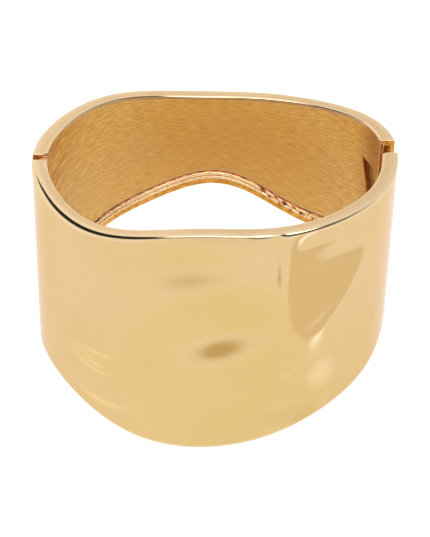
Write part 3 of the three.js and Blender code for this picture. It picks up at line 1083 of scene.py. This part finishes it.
def tongue_outline():
    """Its flat shape as (along, height), anticlockwise."""
    root_bottom, root_top = TONGUE_BOTTOM - ROOT_SHOULDER, TONGUE_TOP + ROOT_SHOULDER
    shape = [(ROOT_START, root_bottom), (ROOT_END, root_bottom), (ROOT_END, TONGUE_BOTTOM)]
    for height, quarter in ((TONGUE_BOTTOM + TIP_CORNER, -90), (TONGUE_TOP - TIP_CORNER, 0)):
        for step in range(TIP_STEPS + 1):
            angle = math.radians(quarter + step * 90 / TIP_STEPS)
            along = TONGUE_TIP - TIP_CORNER + TIP_CORNER * math.cos(angle)
            shape.append((along, height + TIP_CORNER * math.sin(angle)))
    return shape + [(ROOT_END, TONGUE_TOP), (ROOT_END, root_top), (ROOT_START, root_top)]


def tongue_solid():
    """The flat strip with broken edges, cut across so that it can bend."""
    strip = bmesh.new()
    shape = tongue_outline()
    half = TONGUE_THICKNESS / 2
    lower, upper = ([strip.verts.new((*place, z)) for place in shape] for z in (-half, half))
    strip.faces.new(list(reversed(lower)))
    strip.faces.new(upper)
    for i in range(len(shape)):
        j = (i + 1) % len(shape)
        strip.faces.new((lower[i], lower[j], upper[j], upper[i]))
    bmesh.ops.bevel(strip, geom=strip.edges[:], offset=TONGUE_BREAK, segments=2, affect="EDGES")
    for along in np.linspace(ROOT_END + BEND_MARGIN, TONGUE_TIP - BEND_MARGIN, BEND_CUTS):
        solid = strip.verts[:] + strip.edges[:] + strip.faces[:]
        bmesh.ops.bisect_plane(strip, geom=solid, plane_co=(along, 0, 0), plane_no=(1, 0, 0))
    places = np.array([tuple(vertex.co) for vertex in strip.verts])
    strip.verts.index_update()
    faces = [tuple(vertex.index for vertex in face.verts) for face in strip.faces]
    strip.free()
    return places, faces


flat_places, tongue_faces = tongue_solid()
# It rubs bare toward the tip.
from_side = TONGUE_THICKNESS / 2 - abs(flat_places[:, 2])
from_tip = np.minimum(TONGUE_TIP - flat_places[:, 0], 1.5)
tongue_worn = np.clip(1 - from_side * 4 - from_tip, 0.1, 1)
tongue_uv = flat_places[np.concatenate(tongue_faces), :2]
tongue = add_mesh("clasp_strip", bend_to_arc(*flat_places.T), tongue_faces, tongue_worn, tongue_uv)

# Rolled gold: the strip's own satin surface, only plated.
rolled_gold, tree, shader, tone = plated_metal(
    "rolled_gold",
    metallic=0.6,
    Pale=(0.96, 0.68, 0.30, 1),
    Deep=(0.90, 0.56, 0.20, 1),
    Patches_per_mm=0.3,
    Grain_per_mm=3.0,
    Grain_share=0.5,
)
wear_and_sheen = use_group(tree, edge_wear_and_sheen, Reach=0.4, Breaks_per_mm=2.0)
colour = blend(tree, wear_and_sheen["Wear and sheen"], tone["Color"], (0.92, 0.74, 0.46))
rolling = use_group(tree, strokes, Lines_per_mm=3.0, Line_length=6.0, Sway=0.1, Sharpness=0.3)
roughness = ramp(tree, rolling["Lines"], 0, 1, 0.24, 0.36)
finish_metal(tree, shader, colour, roughness, rolling["Height"], 0.004)
finish_piece(tongue, "front_half", "clasp_tongue", "polished_gold", rolled_gold)

# The end wall has a slot for it, with some play all round.
SLOT_PLAY = 0.15
SLOT_OVERRUN = 0.3
slot_depth = TONGUE_THICKNESS / 2 + SLOT_PLAY
slot_corners = [
    bend_to_arc(y, z, depth)
    for y in (FRONT_CLASP_Y - END_WALL - SLOT_OVERRUN, FRONT_CLASP_Y + SLOT_OVERRUN)
    for z in (TONGUE_BOTTOM - SLOT_PLAY, TONGUE_TOP + SLOT_PLAY)
    for depth in (-slot_depth, slot_depth)
]
slot_faces = [(0, 1, 3, 2), (4, 6, 7, 5), (0, 4, 5, 1), (2, 3, 7, 6), (0, 2, 6, 4), (1, 5, 7, 3)]
cut_with(front_clasp_wall, slot_corners, slot_faces, [HEAT_STAIN_AND_SHADE] * len(slot_faces))

# ---- studio
# A white table that glows like a light box in a tent of light, so that the bangle throws
# hardly any shadow. It is seen from above the front.
FLOOR_HALF = 3.0
FLOOR_GLOW = 0.97
FLOOR_PAINT = 0.11
NEAR_TABLE = (0.93, 0.93, 0.93)
FRONT_WALL = (0.635, 0.53, 0.325)
half = FLOOR_HALF
floor_corners = [(-half, -half, 0), (half, -half, 0), (half, half, 0), (-half, half, 0)]
floor_mesh = bpy.data.meshes.new("floor")
floor_mesh.from_pydata(floor_corners, [], [(0, 1, 2, 3)])
floor = bpy.data.objects.new("floor", floor_mesh)
scene = bpy.context.scene
scene.collection.objects.link(floor)
floor_paint = bpy.data.materials.new("floor_paint")
floor_paint.use_nodes = True
tree = floor_paint.node_tree
shader = tree.nodes["Principled BSDF"]
shader.inputs["Roughness"].default_value = 0.9
shader.inputs["Specular IOR Level"].default_value = 0
shader.inputs["Emission Strength"].default_value = FLOOR_GLOW
# What the gold reflects of the table is arranged like a jeweller's cards: it falls off into
# dim light far in front, a grey card at the right darkens the flat, and small bright or grey
# cards give the face its lines. The eye sees the bare white table.
CARDS = (
    # x, y, half_x, half_y, turn: millimetres from the bangle, degrees
    # gain, hard, cool: added light, the share with full strength, 1 where blue gains most
    (61, -75, 7, 16, 0, 0.18, 0.1, 1.0),
    (55, -66, 9, 13, 0, 0.34, 0.1, 1.0),
    (40, -49, 8, 13, 0, 0.14, 0.1, 1.0),
    (38, -77, 12, 3, 0, 0.10, 0.1, 0.0),
    (23, -45, 9, 5, 0, -0.06, 0.1, 1.0),
    (22, -52, 16, 7, 35, -0.06, 0.2, 0.0),
    (58.5, -147, 3.2, 28, 22, -0.42, 0.1, 0.0),
    (-45.5, -45, 1.3, 19, 0, 0.22, 0.1, 0.0),
    (-42.3, -42.5, 1.3, 17, 8, 0.22, 0.1, 0.0),
    (-29, -42, 1.7, 14, 23.5, 0.17, 0.1, 0.0),
)
spot = add_node(tree, "ShaderNodeNewGeometry").outputs["Position"]
from_bangle = vector_maths(tree, "SUBTRACT", _0=spot, _1=(own_origin.x, own_origin.y, 0))[0]
table_mm = vector_maths(tree, "SCALE", _0=from_bangle, Scale=1 / MM)[0]
table_axes = add_node(tree, "ShaderNodeSeparateXYZ", Vector=table_mm).outputs
table_x, table_y = table_axes["X"], table_axes["Y"]


def card_share(x, y, half_x, half_y, turn, hard):
    """Soft-edged oval on the table: 1 inside its hard share and 0 past its half sizes."""
    card = add_node(tree, "ShaderNodeMapping", {"vector_type": "TEXTURE"}, Vector=table_mm)
    card.inputs["Location"].default_value = (x, y, 0)
    card.inputs["Rotation"].default_value = (0, 0, math.radians(turn))
    card.inputs["Scale"].default_value = (half_x, half_y, 1)
    reach = vector_maths(tree, "LENGTH", _0=card.outputs[0])["Value"]
    return ramp(tree, reach, hard, 1.0, 1.0, 0.0)


far = ramp(tree, table_y, -600, -170, 1.0, 0.0)
reflected = blend(tree, far, NEAR_TABLE, FRONT_WALL)
warm = card_share(0, -95, 80, 105, 0, 0.3)
reflected = blend(tree, warm, reflected, (0.985, 0.975, 0.84), "MULTIPLY")
# The grey card has a straight left side and two slanting ones.
falling = maths(tree, "ADD", maths(tree, "MULTIPLY", table_x, 0.5), table_y)
rising = maths(tree, "SUBTRACT", table_y, maths(tree, "MULTIPLY", table_x, 0.25))
grey = ramp(tree, table_x, 52, 68)
grey = maths(tree, "MULTIPLY", grey, ramp(tree, falling, -79.5, -65.5))
grey = maths(tree, "MULTIPLY", grey, ramp(tree, rising, -92, -83, 1.0, 0.0))
reflected = blend(tree, grey, reflected, (0.87, 0.80, 0.68), "MULTIPLY")
for x, y, half_x, half_y, turn, gain, hard, cool in CARDS:
    share = card_share(x, y, half_x, half_y, turn, hard)
    dye = (1 + gain, 1 + gain * (1 + 0.4 * cool), 1 + gain * (1.3 + 1.7 * cool))
    reflected = blend(tree, share, reflected, dye, "MULTIPLY")
in_gold = add_node(tree, "ShaderNodeLightPath").outputs["Is Glossy Ray"]
light = blend(tree, in_gold, (1, 1, 1), reflected)
tree.links.new(light, shader.inputs["Emission Color"])
paint = blend(tree, 1.0, light, (FLOOR_PAINT, FLOOR_PAINT, FLOOR_PAINT), "MULTIPLY")
tree.links.new(paint, shader.inputs["Base Color"])
floor_mesh.materials.append(floor_paint)

# A broad soft box overhead, a white wall behind and low white walls at the sides. The dark
# room shows between them, and it draws the thin black lines along the rim. Matt places, which
# mirror none of it, are lit as in a white tent.
SOFT_BOX = 3.8
FRONT_GLOW = 0.6
BACK_WALL = 1.02
SIDE_WALL = 1.06
DARK_ROOM = 0.02
DIM_ROOM = 0.32
TENT = 1.3
world = bpy.data.worlds.new("studio")
scene.world = world
world.use_nodes = True
sky = world.node_tree
direction = add_node(sky, "ShaderNodeTexCoord").outputs["Generated"]
height = add_node(sky, "ShaderNodeSeparateXYZ", Vector=direction).outputs["Z"]
level = vector_maths(sky, "MULTIPLY", _0=direction, _1=(1, 1, 0))[0]
bearing = vector_maths(sky, "NORMALIZE", _0=level)[0]
bearing = add_node(sky, "ShaderNodeSeparateXYZ", Vector=bearing).outputs
toward_back, toward_clasp = bearing["Y"], bearing["X"]
# The walls and the room above them change from the front, at -1, to the back, at 1.
low_wall = ramp(sky, toward_back, -0.85, -0.45, FRONT_GLOW, SIDE_WALL)
low_wall = ramp(sky, toward_back, 0.70, 0.90, low_wall, BACK_WALL)
clasp_side = ramp(sky, toward_clasp, 0.0, 0.4, DARK_ROOM, DIM_ROOM)
room = ramp(sky, toward_back, -0.2, 0.3, DARK_ROOM, clasp_side)
room = ramp(sky, toward_back, -0.98, -0.90, DIM_ROOM, room)
room = ramp(sky, toward_back, 0.80, 0.90, room, BACK_WALL)
glow = ramp(sky, height, 0.22, 0.40, low_wall, room)
glow = maths(sky, "MULTIPLY", glow, ramp(sky, toward_clasp, -0.2, 0.2, 1.06, 0.92))
glow = ramp(sky, height, 0.86, 0.92, glow, SOFT_BOX)
by_matt = add_node(sky, "ShaderNodeLightPath").outputs["Is Diffuse Ray"]
glow = ramp(sky, by_matt, 0, 1, glow, TENT)
sky.links.new(glow, sky.nodes["Background"].inputs["Strength"])
sky.nodes["Background"].inputs["Color"].default_value = (1, 1, 1, 1)

# The camera stands before the front and looks down at the bangle, turned a little.
TARGET = Vector((0.17, 0, -23.3))
DISTANCE = 300
ELEVATION = math.radians(30.72)
ROLL = math.radians(1.2)
LENS = 108.2
back = Vector((0, -math.cos(ELEVATION), math.sin(ELEVATION)))
side = Vector((1, 0, 0))
up = back.cross(side)
right = side * math.cos(ROLL) + up * math.sin(ROLL)
camera_data = bpy.data.cameras.new("camera")
camera_data.lens = LENS
camera_data.sensor_width = 36
camera = bpy.data.objects.new("camera", camera_data)
scene.collection.objects.link(camera)
axes = Matrix([lean @ right, lean @ back.cross(right), lean @ back]).transposed()
place = own_origin + lean @ ((TARGET + back * DISTANCE) * MM)
camera.matrix_world = Matrix.Translation(place) @ axes.to_4x4()
camera_data.clip_start = 0.01
camera_data.clip_end = 20
scene.camera = camera
scene.view_settings.view_transform = "Standard"
scene.view_settings.look = "None"
